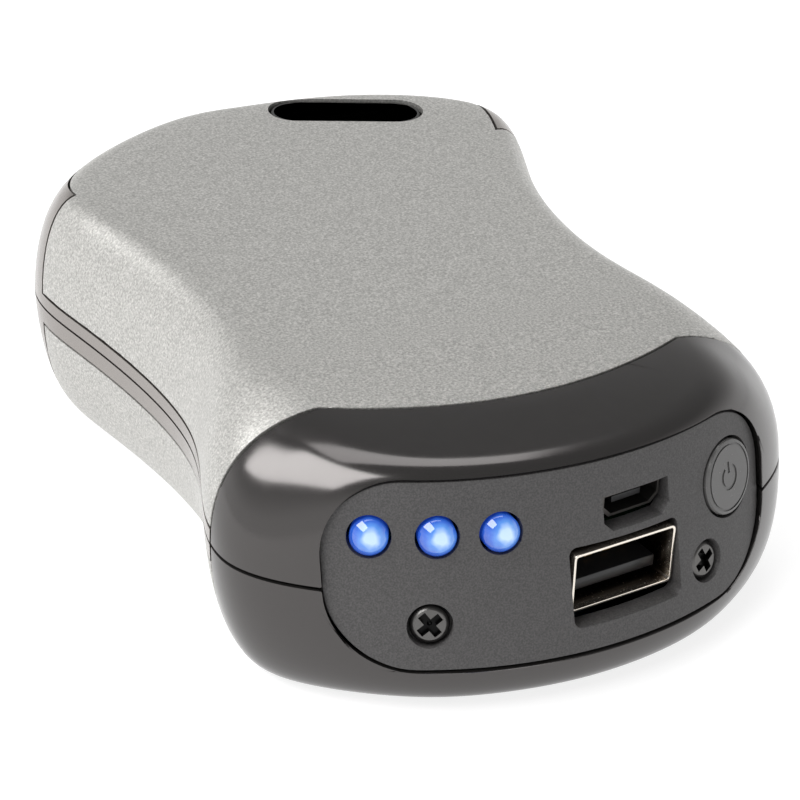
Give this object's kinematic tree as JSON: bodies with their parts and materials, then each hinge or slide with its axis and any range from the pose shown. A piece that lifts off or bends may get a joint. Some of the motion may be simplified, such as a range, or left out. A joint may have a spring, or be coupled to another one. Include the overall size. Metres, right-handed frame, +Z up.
{
  "type": "rechargeable hand warmer",
  "caption": "Pocket hand warmer and power bank: rounded hourglass body, curved port end with lights, button and outlets, and a lanyard slot at the far end.",
  "frame": {"origin": "middle of the body's length and width, on the plane that the rear cover's flat rests on", "axes": "+X across the body to the button's side, +Y from the port end to the lanyard end, +Z up out of the front cover"},
  "size_m": [0.0696, 0.1076, 0.0287],
  "materials": {
    "sprayed_aluminium": "satin spray with fine metallic grain",
    "silver_plastic": "gloss warm silver",
    "gloss_black": "polished black",
    "matt_black": "fine matt grain",
    "button_grey": "smooth dark grey",
    "dark_steel": "blackened steel",
    "nickel": "nickel plated",
    "gold": "gold plated",
    "blue_lens": "clear blue lens",
    "board_green": "solder resist",
    "cell_wrap": "shrink sleeve",
    "amber_film": "polyimide film",
    "grey_foam": "soft foam",
    "white_plastic": "moulded white"
  },
  "bodies": {
    "housing": {"front_cover": "sprayed_aluminium", "rear_cover": "sprayed_aluminium", "upper_frame": "silver_plastic", "lower_frame": "silver_plastic", "end_cap_upper": "gloss_black", "end_cap_lower": "gloss_black", "port_panel": "matt_black", "led_lens_left": "blue_lens", "led_lens_middle": "blue_lens", "led_lens_right": "blue_lens", "button_switch": "matt_black", "usb_a_shell": "nickel", "usb_a_tongue": "gloss_black", "usb_a_contact_1": "gold", "usb_a_contact_2": "gold", "usb_a_contact_3": "gold", "usb_a_contact_4": "gold", "micro_usb_shell": "nickel", "micro_usb_tongue": "matt_black", "micro_usb_stand": "white_plastic", "panel_screw_left": "dark_steel", "panel_screw_right": "dark_steel", "lanyard_eyelet": "matt_black", "circuit_board": "board_green", "led_chip_left": "white_plastic", "led_chip_middle": "white_plastic", "led_chip_right": "white_plastic", "battery_cell_left": "cell_wrap", "battery_cell_right": "cell_wrap", "cell_strip_front": "nickel", "cell_strip_rear": "nickel", "front_heater": "amber_film", "rear_heater": "amber_film", "front_pad": "grey_foam", "rear_pad": "grey_foam", "thermal_sensor": "matt_black"},
    "button": {"power_button": "button_grey", "switch_plunger": "white_plastic"}
  },
  "joints": [
    {"name": "power_button_press", "type": "slide", "parent": "housing", "child": "button", "axis": [-0.4293, 0.8763, -0.2185], "range_m": [0, 0.0005], "stiffness_N_per_m": 1000}
  ]
}
